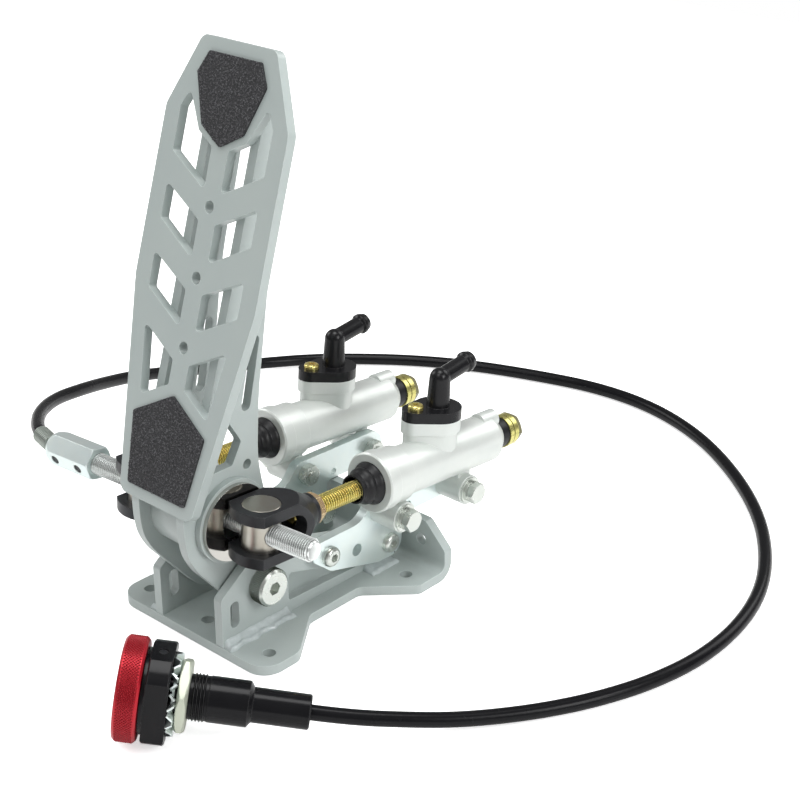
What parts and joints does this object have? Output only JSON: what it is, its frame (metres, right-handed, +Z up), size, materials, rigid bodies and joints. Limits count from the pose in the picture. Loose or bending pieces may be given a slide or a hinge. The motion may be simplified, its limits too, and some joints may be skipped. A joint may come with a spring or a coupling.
{
  "type": "floor-mounted brake pedal",
  "caption": "Floor-mounted brake pedal box with twin master cylinders, balance bar and a remote bias adjuster on a flexible cable.",
  "frame": {"origin": "axis of the front centre bolt hole, on the underside of the base plate", "axes": "+Z up from the floor, +Y forward away from the driver along the push rods, +X to the right"},
  "size_m": [0.4055, 0.4464, 0.2802],
  "materials": {
    "powder_coat": "fine satin silver-grey powder coat",
    "clear_zinc": "bright clear zinc plate",
    "stainless": "plain machined steel",
    "mirror_steel": "polished steel",
    "bronze": "sintered bronze",
    "cast_aluminium": "satin cast and machined aluminium",
    "black_plastic": "glossy moulded black",
    "black_rubber": "black rubber",
    "yellow_zinc": "yellow-passivated zinc plate",
    "black_oxide": "black oxide steel",
    "red_anodised": "red anodised, knurled rim",
    "black_anodised": "black anodised",
    "cap_plastic": "grey-brown transit cap",
    "grit_tape": "dark mineral grit strip",
    "cable_sheath": "black plastic sheath"
  },
  "bodies": {
    "frame": {"base_plate": "powder_coat", "side_plate_left": "powder_coat", "side_plate_right": "powder_coat", "frame_welds": "powder_coat", "bracket_left": "clear_zinc", "bracket_right": "clear_zinc", "tooth_washer": "clear_zinc", "adjuster_nut": "clear_zinc", "bracket_bolts": "stainless", "bracket_nuts": "stainless", "cylinder_bolts": "stainless", "cylinder_washers": "stainless", "spring_washers": "stainless", "cylinder_nuts": "stainless", "pivot_bolt": "stainless", "pivot_nut": "stainless", "return_spring_left": "stainless", "return_spring_right": "stainless", "retaining_rings": "stainless", "cylinder_left": "cast_aluminium", "cylinder_right": "cast_aluminium", "adaptor_left": "black_plastic", "adaptor_right": "black_plastic", "boots": "black_rubber", "adaptor_seals": "black_rubber", "outlet_seals": "black_rubber", "adaptor_screws": "yellow_zinc", "outlet_unions": "yellow_zinc", "adjuster_set_screw": "black_oxide", "adjuster_body": "black_anodised", "adjuster_barrel": "black_anodised", "outlet_caps": "cap_plastic", "cable": "cable_sheath"},
    "pedal": {"pedal_pad": "powder_coat", "grip_upper": "grit_tape", "grip_lower": "grit_tape", "arm_left": "powder_coat", "arm_right": "powder_coat", "bias_tube": "powder_coat", "pivot_tube": "powder_coat", "pivot_bushes": "bronze", "bearing_race": "stainless", "side_discs": "mirror_steel"},
    "bar": {"balance_bar": "clear_zinc", "bearing_ball": "mirror_steel", "coupler": "clear_zinc", "grub_screws": "black_oxide"},
    "rod_left": {"trunnion_left": "stainless", "clevis_left": "black_oxide", "jam_nut_left": "yellow_zinc", "pushrod_left": "yellow_zinc"},
    "rod_right": {"trunnion_right": "stainless", "clevis_right": "black_oxide", "jam_nut_right": "yellow_zinc", "pushrod_right": "yellow_zinc"},
    "piston_left": {"piston_left": "cast_aluminium", "piston_seals_left": "black_rubber"},
    "piston_right": {"piston_right": "cast_aluminium", "piston_seals_right": "black_rubber"},
    "knob": {"adjuster_knob": "red_anodised"}
  },
  "joints": [
    {"name": "pedal_swing", "type": "hinge", "parent": "frame", "child": "pedal", "pos_m": [0, 0.0147, 0.029], "axis": [-1, 0, 0], "range_deg": [0, 22], "stiffness_Nm_per_rad": 25, "springref_deg": -6.88},
    {"name": "rod_left_tilt", "type": "hinge", "parent": "pedal", "child": "rod_left", "pos_m": [-0.0364, -0.00238, 0.0674], "axis": [-0.9967, -0.0816, 0], "range_deg": [-20, 1]},
    {"name": "rod_right_tilt", "type": "hinge", "parent": "pedal", "child": "rod_right", "pos_m": [0.0364, 0.00358, 0.0674], "axis": [-0.9967, -0.0816, 0], "range_deg": [-21, 1]},
    {"name": "piston_left_slide", "type": "slide", "parent": "frame", "child": "piston_left", "axis": [0, 0.9962, -0.0872], "range_m": [0, 0.0158], "deforming": ["return_spring_left"]},
    {"name": "piston_right_slide", "type": "slide", "parent": "frame", "child": "piston_right", "axis": [0, 0.9962, -0.0872], "range_m": [0, 0.0158], "deforming": ["return_spring_right"]},
    {"name": "knob_turn", "type": "hinge", "parent": "frame", "child": "knob", "pos_m": [0.03635, -0.08263, 0.02556], "axis": [0.743, 0.6528, -0.1478], "continuous": true},
    {"name": "bar_spin", "type": "hinge", "parent": "pedal", "child": "bar", "pos_m": [0, 0.0006, 0.0674], "axis": [0.9967, 0.0816, 0], "continuous": true}
  ],
  "couplings": [
    {"joint": "rod_left_tilt", "follows": "pedal_swing", "ratio": -0.86},
    {"joint": "rod_right_tilt", "follows": "pedal_swing", "ratio": -0.915},
    {"joint": "piston_left_slide", "follows": "pedal_swing", "m_per_rad": 0.0392},
    {"joint": "piston_right_slide", "follows": "pedal_swing", "m_per_rad": 0.0388},
    {"joint": "bar_spin", "follows": "knob_turn", "ratio": 1}
  ]
}
